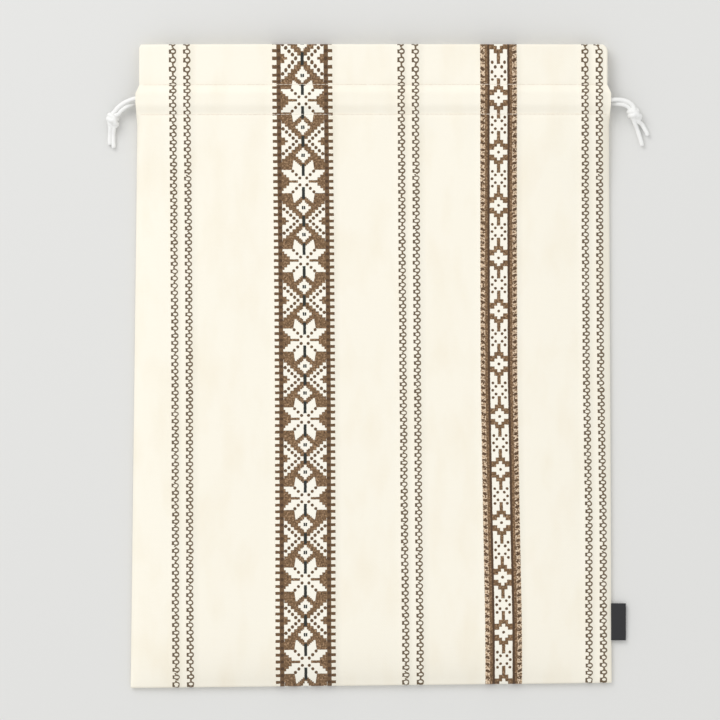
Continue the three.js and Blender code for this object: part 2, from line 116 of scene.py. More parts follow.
# Drawcords
CORD = 2.7
CLEARANCE = 0.32  # between touching pieces
CORD_PITCH = CORD + 0.4  # the two cords lie side by side in each casing
CORD_ABOVE = 6.9  # lower stitch line to the lower cord
TURN_INSET = 3.4  # a cord turns back this far inside the far side edge
CORD_SIDES = 14  # sides of the round cord's mesh
KNOT_TIGHT = Vector((0.72, 0.82, 0.84))  # what pulling the knot tight leaves of it
KNOT_APART = 0.43  # half the distance between its two strands, in cord thicknesses
KNOT_SWELL = 1.14  # how much fuller the pressed strands are
KNOT_REACH = (3.4, 5.6)  # they swell within the first reach, and are plain outside the second

# Side tag
TAG_LENGTH = 23
TAG_REACH = 9.4  # how far it stands out of the seam
TAG_ROOT = 7  # how far it goes into the seam
TAG_LAYER = 0.35
TAG_HEIGHT = 38  # middle of the tag above the bottom fold
TAG_FOLD = TAG_LAYER * 0.9  # radius of its fold
TAG_LIFT = 0.1
TAG_CURL = 0.25
TAG_GRID = (44, 24)

# Woven bands, across the pouch at half its height, and the lowest of their repeats
SLANT = 2.7  # the bands drift right by this much from top to bottom
CHAIN_WIDTH = 4.5
CHAIN_SPACING = 8.9
CHAIN_PAIRS = (-119.3, 22.7, 137.6)  # middle of each pair of chain stripes
CHAIN_LIMITS = (-80, 100)  # plain cloth between one pair and the next
CHAIN_PITCH = 4.5
CHAIN_FIRST = 2.2
STAR_MIDDLE = -42.5
STAR_WIDTH = 37.4
STAR_CELL = 2.16
STAR_REPEAT = 49.97
STAR_FIRST = 15.2
STAR_STEP = 0.93  # height of one step of the stars' legs, in cells
STAR_BORDER = 13.4  # the dark border begins this far from the band's middle
STAR_FIELD = 16.0  # and ends here, where its teeth begin
STAR_TEETH = 12  # teeth on each side of a repeat
SMALL_MIDDLE = 80.0
SMALL_WIDTH = 22.6
SMALL_REPEAT = 33.47
SMALL_FIRST = 31.95
SMALL_LINE = (5.6, 6.9)  # the dark line beside the figures, from the band's middle
SMALL_SIDE = 8.5  # the checked sides begin here
SMALL_CHECKS = 8  # checks on each side of a repeat
WOVEN_BANDS = (
    *((pair + turn * CHAIN_SPACING / 2, CHAIN_WIDTH) for pair in CHAIN_PAIRS for turn in (-1, 1)),
    (STAR_MIDDLE, STAR_WIDTH), (SMALL_MIDDLE, SMALL_WIDTH),
)

# How far each band has wandered sideways: its middle, half its width, and its shift at each level
DRIFT_LEVELS = (40, 99, 191, 283, 375)
DRIFTS = (
    (CHAIN_PAIRS[0], 9, (0.5, 0.8, 1.2, 1.2, 0.9)),
    (STAR_MIDDLE, 20, (-0.1, 0.25, 0.6, 0.55, 0.2)),
    (CHAIN_PAIRS[1], 9, (1.4, 1.1, 0.9, 0.8, 0.9)),
    (SMALL_MIDDLE, 12, (0.4, -0.4, -1.4, -1.05, -0.4)),
    (CHAIN_PAIRS[2], 9, (0.5, 0.9, -0.1, -0.1, 0.3)),
)

# How far the weave has stretched upwards at each level
STRETCH = (
    (0, -0.3), (15, 0), (65, 1.36), (100, 2.05), (130, 1.9), (166, 1.5), (200, 0.8), (233, 0.4),
    (266, 0.15), (300, -0.5), (333, -0.7), (366, 0), (381, -1.1), (392, 1.4), (400, 2.2),
)

# Levels up the pouch
UPPER_STITCH = HEIGHT - HEADER
LOWER_STITCH = UPPER_STITCH - CASING
HEM_EDGE = LOWER_STITCH - HEM
NECK = LOWER_STITCH - 6
CASING_ROOM = CORD + 2 * CLEARANCE
LEFT_CORD_ROW = LOWER_STITCH + CORD_ABOVE + CORD / 2 + CORD_PITCH
RIGHT_CORD_ROW = LEFT_CORD_ROW - CORD_PITCH
ROOM_LOW = RIGHT_CORD_ROW - CORD / 2 - CLEARANCE
ROOM_HIGH = LEFT_CORD_ROW + CORD / 2 + CLEARANCE
FLAP_START = LOWER_STITCH - 3 * CASING  # where the body's form begins to turn into the casing's
SEAM_START = LOWER_STITCH - 2.5 * CASING  # where the side seams begin to rise to the casing
TOP_FOLD = (CLOTH + HEADER_ROOM) / 2
BOTTOM_FOLD = (SEAM - CLOTH) / 2
BACK_RUN = WEAVE + CLOTH + CASING_ROOM / 2  # height of a cord in the back casing
FLOOR_LINE = CORD / 2  # height of a cord that lies on the ground
WIDTHS = (
    (0, BOTTOM_WIDTH), (NECK, NECK_WIDTH), (LOWER_STITCH, (NECK_WIDTH + EXIT_WIDTH) / 2),
    (ROOM_LOW, EXIT_WIDTH), (ROOM_HIGH, EXIT_WIDTH),
    (UPPER_STITCH, HEADER_WIDTH), (HEIGHT, HEADER_WIDTH),
)
FULLNESS = (
    (LOWER_STITCH + CASING_PRESSED, 0), (ROOM_LOW, 1), (ROOM_HIGH, 1), (UPPER_STITCH - CASING_PRESSED, 0),
)
FACING_INSETS = (
    (LOWER_STITCH - 0.5, HEM_INSET), (LOWER_STITCH + 2.5, SLIT_INSET),
    (UPPER_STITCH - 3, SLIT_INSET), (UPPER_STITCH, 0),
)
SEAM_FADE = (LOWER_STITCH - 3, LOWER_STITCH + 0.5)  # where the side seams open into the slits
HEADER_FADE = (UPPER_STITCH - 0.5, UPPER_STITCH + 2)  # where the ends of the header close

# Mesh of the cloth: its layers, its columns' insets from a side edge, and the width of a band's edge
FRONT_FACING, FRONT, BACK, BACK_FACING = range(4)
EDGE_INSETS = (0, 0.15, 0.4, 0.8, 1.4, 2.3, 3.6, 5.5)
RIGHT_INSETS = EDGE_INSETS[:5]
EDGE_MARGIN = 8  # plain cloth between the last inset and the first band
BAND_STEP = 0.3
FOLD_STEPS = 6

# Floor and light, in metres and watts
FLOOR_REACH = 4
FLOOR_DROP = 0.0002
LAMP_SIZE = 1.6
LAMP_POWER = 25.5
LAMP_PLACE = (-1.3, 1.7, 1.9)
SKY_STRENGTH = 0.82
VIEW_LIMIT = 20


def clamp(value, low=0.0, high=1.0):
    return max(low, min(high, value))


def lerp(a, b, share):
    return a + (b - a) * share


def smooth(value, low, high):
    t = clamp((value - low) / (high - low))
    return t * t * (3 - 2 * t)


def between(y, stops, ease=False):
    """A value that changes in straight or eased runs between (level, value) stops."""
    for (low, a), (high, b) in zip(stops, stops[1:]):
        if y <= high:
            t = clamp((y - low) / (high - low))
            return lerp(a, b, t * t * (3 - 2 * t) if ease else t)
    return stops[-1][1]


def half_width(y):
    return between(y, WIDTHS) / 2


def middle(y):
    return LEAN * (y / HEIGHT - 0.5)


def edge_x(side, y):
    return middle(y) + side * half_width(y)


def drift(x, y):
    """Sideways shift of the weave, the same right across each band."""
    stops = []
    for at, half, moves in DRIFTS:
        move = between(y, tuple(zip(DRIFT_LEVELS, moves)))
        stops += [(at - half, move), (at + half, move)]
    return SLANT * (0.5 - y / HEIGHT) + between(x, stops)


def band_x(x, y):
    return x + drift(x, y)


def across(x, y):
    return clamp((x - middle(y)) / half_width(y), -1, 1)


def lie_y(x, y):
    """A level on the cloth to where it lies: the bottom edge runs slightly uphill to the right."""
    return y + BOTTOM_RISE * (1 + across(x, y)) * 0.5 * (1 - y / HEIGHT)


# The pouch's own middle and bottom fold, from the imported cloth
CLOTH_LOW, CLOTH_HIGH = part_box("pouch_cloth")
POUCH_ORIGIN = Vector((CLOTH_LOW.x - edge_x(-1, 0) * MM, CLOTH_HIGH.y - HEIGHT * MM, 0))


def placed(x, y, z):
    """A point of the pouch in millimetres, in the frame's metres."""
    return POUCH_ORIGIN + Vector((x, y, z)) * MM


def fullness(y):
    """How full the casing is at a level: nothing at its stitch lines, full where the cords lie."""
    return between(y, FULLNESS, ease=True)


def header_room(y):
    """Slack between the two layers of the header at a level."""
    stops = ((UPPER_STITCH + HEADER_PRESSED, 0), (UPPER_STITCH + HEADER_SPREAD, 1), (HEIGHT, 1))
    return HEADER_ROOM * between(y, stops, ease=True)


def back_inside(y):
    return 2 * CLOTH + CASING_ROOM * fullness(y) + header_room(y)


def mouth_gap(x, y):
    return lerp(MOUTH, MOUTH_EDGE, across(x, y) ** 4)


def flap_skin(x, y):
    casing = 2 * CLOTH + CASING_ROOM + mouth_gap(x, y) + CASING_ROOM / 2 + 2 * CLOTH
    return casing - MOUTH_DROP * smooth(y, UPPER_STITCH - CASING / 2, HEIGHT)


def body_skin(x, y):
    from_side = half_width(y) * (1 - abs(across(x, y)))
    rim = (RIM - SEAM) * (1 - math.exp(-from_side / RIM_SPREAD))
    return SEAM + (rim + CROWN * (1 - across(x, y) ** 4)) * (1 - math.exp(-max(y, 0) / FOLD_SPREAD))


def skin(x, y):
    return lerp(body_skin(x, y), flap_skin(x, y), smooth(y, FLAP_START, LOWER_STITCH))


def front_outside(x, y):
    return skin(x, y) + CASING_ROOM / 2 * fullness(y)


def front_inside(x, y):
    return skin(x, y) - 2 * CLOTH - CASING_ROOM / 2 * fullness(y) - header_room(y)


def hill(distance, reach):
    """1 in the middle of a soft hill, falling away on both sides."""
    return math.exp(-((distance / reach) ** 2))


def ripple(x, y, size, seed):
    """Smooth uneven height between -1 and 1, in patches of that size across and up."""
    return noise.noise(Vector((x / size[0], y / size[1], seed)))


def pucker(x, y):
    """Soft waves that the stitching draws in the front."""
    wave = 2 * math.pi * x / PUCKER_PITCH
    upper = hill(y - UPPER_STITCH, UPPER_PUCKER_REACH)
    lower = hill(y - LOWER_STITCH + LOWER_PUCKER_DROP, LOWER_PUCKER_REACH)
    return PUCKER * (upper * math.sin(wave) + lower * math.cos(wave))


def gathers(x, y):
    """Fine uneven gathers beside the stitch lines, and the groove along each line."""
    height = 0
    for line, seed in ((UPPER_STITCH, 3.1), (LOWER_STITCH, 7.7)):
        share = hill(y - line, GATHER_REACH)
        if share > 0.01:
            height += GATHER * share * ripple(x, y, FINE_GATHER, seed)
            height += GATHER * share * ripple(x, y, WIDE_GATHER, seed + 2)
            height -= STITCH_GROOVE * hill(y - line, GROOVE_REACH)
    return height


def slack(x, y):
    """Wide shallow undulations of the cloth that lies over the hollow pouch."""
    inside = 1 - across(x, y) ** 6
    waves = WIDE_SLACK * ripple(x, y, WIDE_SLACK_SIZE, 1.3)
    waves += SMALL_SLACK * ripple(x, y, SMALL_SLACK_SIZE, 8.2)
    loose = 1 - CALM * smooth(y, HEM_EDGE - CALM_START, HEM_EDGE)
    return inside * loose * waves * (1 - math.exp(-max(y, 0) / SLACK_FOLD_REACH))


# Shader maths

def joining(operation, swapped=False):
    """A method of Signal that joins two numbers by one operation of the shader."""
    def join(signal, other):
        pair = (other, signal) if swapped else (signal, other)
        return signal.finish.maths(operation, *pair)
    return join


class Signal:
    """A number that changes over a surface: one node socket that can be used in sums."""

    def __init__(self, finish, socket):
        self.finish = finish
        self.socket = socket

    __add__ = joining("ADD")
    __radd__ = joining("ADD", swapped=True)
    __sub__ = joining("SUBTRACT")
    __rsub__ = joining("SUBTRACT", swapped=True)
    __mul__ = joining("MULTIPLY")
    __truediv__ = joining("DIVIDE")
    __lt__ = joining("LESS_THAN")
    __gt__ = joining("GREATER_THAN")
    __and__ = joining("MINIMUM")
    __or__ = joining("MAXIMUM")

    def __abs__(self):
        return self.finish.maths("ABSOLUTE", self)

    def sine(self):
        return self.finish.maths("SINE", self)

    def stepped(self, step):
        """The middle of the step that the number is in."""
        return self.finish.maths("SNAP", self, step) + step / 2

    def folded(self, half):
        """Distance from the nearest whole repeat, where a repeat is two halves."""
        return self.finish.maths("PINGPONG", self, half)

    def repeated(self, length):
        """The number from -length/2 to length/2 that differs from it by whole lengths."""
        return self.finish.maths("WRAP", self, length / 2, -length / 2)

    def rounded(self, low, high):
        whole = self.finish.maths("ROUND", self)
        return (whole | low) & high


class Finish:
    """A material on the principled shader, and the nodes that shape it."""

    def __init__(self, name, **constants):
        self.material = bpy.data.materials.new(name)
        self.material.use_nodes = True
        self.tree = self.material.node_tree
        self.tree.nodes.clear()
        self.shader = self.node("ShaderNodeBsdfPrincipled")
        output = self.node("ShaderNodeOutputMaterial")
        self.tree.links.new(self.shader.outputs["BSDF"], output.inputs["Surface"])
        for socket, value in constants.items():
            self.shader.inputs[socket.replace("_", " ")].default_value = value

    def node(self, kind, settings=None, sockets=None):
        node = self.tree.nodes.new(kind)
        for name, value in (settings or {}).items():
            setattr(node, name, value)
        for name, value in (sockets or {}).items():
            self.feed(node.inputs[name], value)
        return node

    def feed(self, socket, value):
        if isinstance(value, Signal):
            self.tree.links.new(value.socket, socket)
        elif isinstance(value, bpy.types.NodeSocket):
            self.tree.links.new(value, socket)
        else:
            socket.default_value = value

    def maths(self, operation, *values):
        node = self.node("ShaderNodeMath", {"operation": operation}, dict(enumerate(values)))
        return Signal(self, node.outputs[0])

    def mixed(self, share, a, b):
        """Colour a where share is 0, and b where it is 1."""
        node = self.node("ShaderNodeMix", {"data_type": "RGBA"}, {0: share, 6: a, 7: b})
        return node.outputs[2]

    def place(self, source):
        """Object or UV coordinates in millimetres, one signal for each axis."""
        point = self.node("ShaderNodeTexCoord").outputs[source]
        parts = self.node("ShaderNodeSeparateXYZ", sockets={0: point})
        return [Signal(self, parts.outputs[i]) * (1 / MM) for i in range(3)]

    def speckle(self, x, y, size, detail=2.0, seed=0.0):
        """Soft noise from 0 to 1 with patches of about that size in millimetres."""
        point = self.node("ShaderNodeCombineXYZ", sockets={0: x, 1: y, 2: seed})
        texture = self.node(
            "ShaderNodeTexNoise", {"noise_dimensions": "3D"},
            {"Vector": point.outputs[0], "Scale": 1 / size, "Detail": detail},
        )
        return Signal(self, texture.outputs["Fac"])

    def dot(self, dx, dy, radius):
        return dx * dx + dy * dy < radius * radius

    def paint(self, colour):
        self.feed(self.shader.inputs["Base Color"], colour)

    def bump(self, height, distance, strength=1.0):
        """Height from 0 to 1 as relief of that many metres."""
        node = self.node(
            "ShaderNodeBump", sockets={"Strength": strength, "Distance": distance, "Height": height}
        )
        self.feed(self.shader.inputs["Normal"], node.outputs["Normal"])


def linear(red, green, blue):
    """A colour as seen on a screen, from 0 to 255, as the shader's own numbers."""
    shares = (value / 255 for value in (red, green, blue))
    return tuple(v / 12.92 if v <= 0.04045 else ((v + 0.055) / 1.055) ** 2.4 for v in shares)


def opaque(colour):
    return (*colour, 1.0)


def colour_property(name, description, red, green, blue):
    return FloatVectorProperty(
        name=name, description=description, subtype="COLOR", size=3, min=0, max=1,
        default=linear(red, green, blue),
    )


def size_property(name, description, millimetres, low=0.0):
    return FloatProperty(
        name=name, description=description, unit="LENGTH", min=low, default=millimetres * MM, precision=5
    )


class PouchCloth(bpy.types.PropertyGroup):
    cream: colour_property("Ground", "Plain cream cotton", 252, 246, 230)
    white: colour_property("Figures", "Lighter thread of the figures in the bands", 252, 248, 235)
    # Painted shade: a darker, yellower cream that stands in for the shade in soft creases of the cloth
    crease_shade_colour: colour_property("Age", "Yellower tone of the creased cream cotton", 246, 237, 216)
    brown: colour_property("Field", "Brown ground of the bands", 122, 94, 64)
    light_brown: colour_property("Field fleck", "Lighter thread in the brown ground", 176, 143, 110)
    dark_brown: colour_property("Border", "Dark brown border of the bands", 68, 47, 31)
    pale_brown: colour_property("Check", "Pale thread of the checked sides", 234, 212, 184)
    green: colour_property("Bars", "Near black green bars of the stars", 42, 46, 42)
    olive: colour_property("Chains", "Olive brown thread of the chain stripes", 118, 101, 78)
    body_step: size_property("Row spacing", "Distance between rows of the body of the cloth", 3.3)
    top_step: size_property("Header row spacing", "Distance between rows of the header and casing", 1.15)
    column_step: size_property("Column spacing", "Widest distance between columns of the cloth", 4.4)
    thread: size_property("Thread pitch", "Distance between two threads of the weave", 0.45)
    stitch: size_property("Stitch", "Distance from one stitch to the next", 2.9)
    sewing_thread: size_property("Sewing thread", "Thickness of the sewing thread", 0.36)


class PouchCords(bpy.types.PropertyGroup):
    colour: colour_property("Cord", "White cotton of the drawcords", 254, 254, 252)
    diameter: size_property("Diameter", "Thickness of a drawcord", CORD)
    step: size_property("Step", "Distance between sections of a drawcord", 0.9)
    length: size_property("Length", "Real length of one drawcord", 712)


class PouchTag(bpy.types.PropertyGroup):
    colour: colour_property("Ribbon", "Black ribbon of the side tag", 24, 24, 27)


class PouchStage(bpy.types.PropertyGroup):
    floor: colour_property("Floor", "Pale ground that the pouch lies on", 226, 226, 224)
    view_width: size_property("View width", "Width of the picture where the pouch lies", 448.2)
    view_distance: size_property("Camera height", "Height of the camera over the pouch", 6000)
    aim_x: size_property("Aim X", "Middle of the picture, across", -11.56, low=-1)
    aim_y: size_property("Aim Y", "Middle of the picture, up the pouch", 3.73, low=-1)


def piece_from(bm, name, material, slot, *replaced):
    """Makes a mesh object of the bmesh that rides on the pouch."""
    mesh = bpy.data.meshes.new(name)
    bm.to_mesh(mesh)
    bm.free()
    for polygon in mesh.polygons:
        polygon.use_smooth = True
    piece = bpy.data.objects.new(name, mesh)
    bpy.context.scene.collection.objects.link(piece)
    mesh.materials.append(material)
    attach(piece, "root")
    if replaced:
        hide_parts(*replaced)
    return piece


# The cloth: one strip from the front hem over the top fold, down the front, round the bottom, up the back

def cloth_columns(widest):
    """(side, inset or band position, proud) for each column, from left to right."""
    bands = sorted((at - width / 2, at + width / 2) for at, width in WOVEN_BANDS)
    marks = [(bands[0][0] - EDGE_MARGIN, 0)]
    for left, right in bands:
        marks += [(left, 0), (left + BAND_STEP, 1), (right - BAND_STEP, 1), (right, 0)]
    columns = [(-1, inset, 0) for inset in EDGE_INSETS]
    for (x0, proud0), (x1, proud1) in zip(marks, marks[1:]):
        count = max(1, math.ceil((x1 - x0) / widest))
        for i in range(count):
            columns.append((0, lerp(x0, x1, i / count), min(proud0, proud1) if i else proud0))
    columns.append((0, *marks[-1]))
    columns += [(1, inset, 0) for inset in reversed(RIGHT_INSETS)]
    return columns


def spaced(low, high, step):
    count = max(1, round((high - low) / step))
    return [lerp(low, high, i / count) for i in range(count + 1)]


def cloth_rows(body_step, top_step):
    """(layer, level, turn) for each row along the cloth. A turn is an angle in a fold, in radians."""
    body = spaced(BOTTOM_FOLD, HEM_EDGE, body_step)
    marks = (HEM_EDGE, LOWER_STITCH, ROOM_LOW, ROOM_HIGH, UPPER_STITCH, HEIGHT - TOP_FOLD - CLOTH / 2)
    top = [y for low, high in zip(marks, marks[1:]) for y in spaced(low, high, top_step)[1:]]
    turns = [math.pi * i / FOLD_STEPS for i in range(1, FOLD_STEPS)]
    rows = [(FRONT_FACING, y, None) for y in [HEM_EDGE, *top]]
    rows += [("front fold", 0, turn) for turn in reversed(turns)]
    rows += [(FRONT, y, None) for y in reversed(body + top)]
    rows += [("bottom fold", 0, turn) for turn in turns]
    rows += [(BACK, y, None) for y in body + top]
    rows += [("back fold", 0, turn) for turn in turns]
    rows += [(BACK_FACING, y, None) for y in [*reversed(top), HEM_EDGE]]
    return rows


def facing_inset(y):
    """How far the turned-in layer stops from the side edges: it leaves the slit free for the cords."""
    return between(y, FACING_INSETS, ease=True)


def layer_height(layer, x, y, proud):
    """Middle of a layer of the cloth above the ground."""
    lift = gathers(x, y) + slack(x, y) + pucker(x, y)
    if layer == FRONT:
        return WEAVE + front_outside(x, y) + lift + WEAVE * proud - CLOTH / 2
    if layer == FRONT_FACING:
        return WEAVE + front_inside(x, y) + lift + CLOTH / 2
    if layer == BACK_FACING:
        return WEAVE + back_inside(y) - CLOTH / 2
    return WEAVE + CLOTH / 2 - WEAVE * proud


def seam_height(y):
    """Where front and back meet along a side seam."""
    return WEAVE + lerp(SEAM, CASING_SEAM, smooth(y, SEAM_START, LOWER_STITCH)) / 2


def edge_share(inset, reach):
    """0 at a folded or sewn edge and 1 further in than its reach, round in between."""
    t = clamp(inset / reach)
    return math.sqrt(max(0.0, 1 - (1 - t) ** 2))


def closed_height(layer, x, y, proud, inset):
    """The layer's height, drawn to its mate where the two meet at a side edge."""
    height = layer_height(layer, x, y, proud)
    seamed = 1 - smooth(y, *SEAM_FADE)
    if seamed > 0:
        reach = lerp(SEAM_REACH, CASING_SEAM_REACH, smooth(y, SEAM_START, LOWER_STITCH))
        height = lerp(height, seam_height(y), seamed * (1 - edge_share(inset, reach)))
    hemmed = smooth(y, *HEADER_FADE)
    if hemmed > 0:
        pair = (FRONT, FRONT_FACING) if layer in (FRONT, FRONT_FACING) else (BACK, BACK_FACING)
        meeting = sum(layer_height(one, x, y, 0) for one in pair) / 2
        height = lerp(height, meeting, hemmed * (1 - edge_share(inset, TOP_FOLD + 0.3)))
    return height


def corner_round(x, y):
    """The top corners are rounded: the ends of the header are drawn in towards the top."""
    for side, radius in CORNERS:
        up = clamp(y - (HEIGHT - radius), 0, radius)
        end = side * edge_x(side, y)
        drawn = radius - math.sqrt(radius**2 - up**2)
        x -= side * drawn * smooth(side * x, end - CORNER_BLEND * radius, end)
    return x


def cloth_point(row, column):
    """Where one point of the cloth lies and where it is in the weave, both in metres."""
    layer, y, turn = row
    side, at, proud = column
    drop = None
    if layer == "bottom fold":
        upper, lower, level = FRONT, BACK, BOTTOM_FOLD
        y = BOTTOM_FOLD * (1 - math.sin(turn))
        woven = -BOTTOM_FOLD * (turn - math.pi / 2)
        drop = (1 - math.cos(turn)) / 2
    elif layer in ("front fold", "back fold"):
        upper, lower = (FRONT, FRONT_FACING) if layer == "front fold" else (BACK_FACING, BACK)
        level = HEIGHT - TOP_FOLD - CLOTH / 2
        y = level + TOP_FOLD * math.sin(turn)
        drop = (1 - math.cos(turn)) / 2
        along = level + TOP_FOLD * turn
        woven = along if layer == "front fold" else -along
        if layer == "back fold":
            drop = 1 - drop
    elif layer in (FRONT_FACING, BACK_FACING):
        woven = (2 * HEIGHT - y) * (1 if layer == FRONT_FACING else -1)
    else:
        woven = y if layer == FRONT else -y
    x = edge_x(side, y) - side * at if side else band_x(at, y)
    inset = half_width(y) - abs(x - middle(y))
    if drop is None:
        if layer in (FRONT_FACING, BACK_FACING):
            x = lerp(x, middle(y), facing_inset(y) / half_width(y))
            inset = half_width(y) - abs(x - middle(y))
        z = closed_height(layer, x, y, proud, inset)
    else:
        heights = (closed_height(one, x, level, proud, inset) for one in (upper, lower))
        z = lerp(*heights, drop)
    weave_x = x - drift(x, y)
    woven -= between(y, STRETCH) if woven > 0 else -between(y, STRETCH)
    x = corner_round(x, y)
    return placed(x, lie_y(x, y), z), (weave_x * MM, woven * MM)


def sew_cloth(props):
    """The whole cloth as one sheet: columns across it, and rows that follow its length."""
    columns = cloth_columns(props.column_step / MM)
    rows = cloth_rows(props.body_step / MM, props.top_step / MM)
    bm = bmesh.new()
    weave = bm.loops.layers.uv.new("weave")
    bmesh.ops.create_grid(bm, x_segments=len(columns) - 1, y_segments=len(rows) - 1, size=1)
    for vertex in bm.verts:
        i = round((vertex.co.x + 1) / 2 * (len(columns) - 1))
        j = round((vertex.co.y + 1) / 2 * (len(rows) - 1))
        vertex.co, woven = cloth_point(rows[j], columns[i])
        for loop in vertex.link_loops:
            loop[weave].uv = woven
    bmesh.ops.remove_doubles(bm, verts=bm.verts, dist=0.002 * MM)
    bmesh.ops.recalc_face_normals(bm, faces=bm.faces)
    return bm


def chain_stripes(finish, x, y):
    """Chain stitch stripes: a row of links, each a round nose to the right of a short thick tail."""
    pair = CHAIN_PAIRS[0]
    for limit, left, right in zip(CHAIN_LIMITS, CHAIN_PAIRS, CHAIN_PAIRS[1:]):
        pair = pair + (x > limit) * (right - left)
    offset = x - pair
    stripe = offset.stepped(CHAIN_SPACING) * 3.7
    row = ((y - CHAIN_FIRST) / CHAIN_PITCH + 0.5).stepped(1.0) * 5.3
    jitter = finish.speckle(stripe, row, 1.3, 0) - 0.5
    lean = finish.speckle(stripe, row, 1.3, 0, 6) - 0.5
    u = (offset - CHAIN_SPACING / 2).repeated(CHAIN_SPACING) + jitter * 0.5
    v = (y - CHAIN_FIRST).repeated(CHAIN_PITCH) + lean * 0.7
    nose = finish.dot(u - 0.38, v, 1.72)
    tail = (abs(u + 1.4) < 0.8) & (abs(v - jitter * 0.6) < 1.15)
    eye = finish.dot((u - 0.16) / (1.2 + lean * 0.5), v / (0.8 + jitter * 0.6), 1)
    link = (abs(u - 0.2 + v * lean * 0.9) < 0.52) & (abs(v) > 1.6)
    chain = ((nose | tail) & (1 - eye)) | link
    return chain & (abs(offset) < 0.95 * CHAIN_SPACING), tail


def star_band(finish, x, y):
    """Masks of the wide band: band, border, blobs, figures, dots and bars.

    In cells of the weave: a outwards from its middle, b away from a star, far away from a cross.
    """
    side = abs(x - STAR_MIDDLE)
    a = side / STAR_CELL
    b = (y - STAR_FIRST).folded(STAR_REPEAT / 2) / STAR_CELL
    far = STAR_REPEAT / 2 / STAR_CELL - b
    rung = abs((y - STAR_FIRST).repeated(STAR_REPEAT / STAR_TEETH))
    notch = (a - 4.06).stepped(0.8) * 0.9 + 0.89
    wide_petal = (b < 3.36) & ((b > notch) | (a < 4.06)) & (a < 6.15)
    tall_petal = (b < (a - 0.45).stepped(0.45) * 0.9 + 4.25) & (b < 6.2) & (a < b * -0.158 + 3.75)
    spoke = (b < 0.36) & (a > 1.55)
    level = abs(b - 7.6)
    diamond = ((level < 0.4) & (a < 2.05)) | ((level < 1.1) & (a < 1.35))
    diamond = diamond | ((level < 1.45) & (a < 0.8)) | ((level < 2.1) & (a < 0.38))
    leg = (far < (a - 0.5).stepped(STAR_STEP) * 0.935 + 0.2) & (a > 0.5)
    hollow = ((a > 5.1) & (far < 1.1)) | ((a > 4.3) & (far < 0.3))
    white = (((wide_petal | tall_petal) & (1 - spoke)) | diamond | (leg & (1 - hollow))) & (a < 6.15)
    star_dot = ((a + b) / 2).rounded(1, 3)
    leg_dot = ((a - 1.85) / 0.95).rounded(0, 4)
    dots = finish.dot(a - star_dot, b - star_dot, 0.46)
    dots = dots | finish.dot(a - 1.85 - leg_dot * 0.95, far - leg_dot * 0.88, 0.5)
    bars = (a < 0.43) & (((b > 1.6) & (b < 5.1)) | (far < 1.55))
    ticks = (abs(a - 0.28) < 0.23) & (level < 0.5)
    band = (side < STAR_FIELD) | ((rung < 0.92) & (side < STAR_WIDTH / 2 - 0.1))
    border = side > STAR_BORDER
    blob = finish.dot((side - 14.6) / 1.15, rung, 1)
    return band, border, blob, white & (1 - border), dots & (1 - border), (bars | ticks) & (1 - border)


def small_band(finish, x, y):
    """Masks of the narrow band: whole band, dark lines, checked sides, their blobs, figures and dots.

    In millimetres: a outwards from its middle, b away from a diamond, far away from a pair of lobes.
    """
    a = abs(x - SMALL_MIDDLE)
    b = (y - SMALL_FIRST).folded(SMALL_REPEAT / 2)
    far = SMALL_REPEAT / 2 - b
    diamond = ((b < 1.5) & (a < 5.4)) | ((b < 3.3) & (a < 2.7)) | ((b < 5.1) & (a < 0.97))
    lobes = ((far < 9.2) | ((far < 11.5) & (a > 2.9))) & (1 - ((a < 1.05) & (far > 3.8)))
    white = (diamond | lobes) & (a < 5.45)
    dots = finish.dot(a, b, 0.9) | finish.dot(a - 2, far - 2.4, 0.9)
    dots = dots | finish.dot(a - 3.85, far - 4.65, 0.9) | finish.dot(a - 4.05, far, 0.9)
    line = (a > SMALL_LINE[0]) & (a < SMALL_LINE[1])
    side = a > SMALL_SIDE
    rung = y.repeated(SMALL_REPEAT / SMALL_CHECKS)
    blob = finish.dot((a - 9.9) / 1.35, (rung - (a - 9.9) * 0.3) / 0.95, 1)
    return a < SMALL_WIDTH / 2, line, side, blob, white, dots


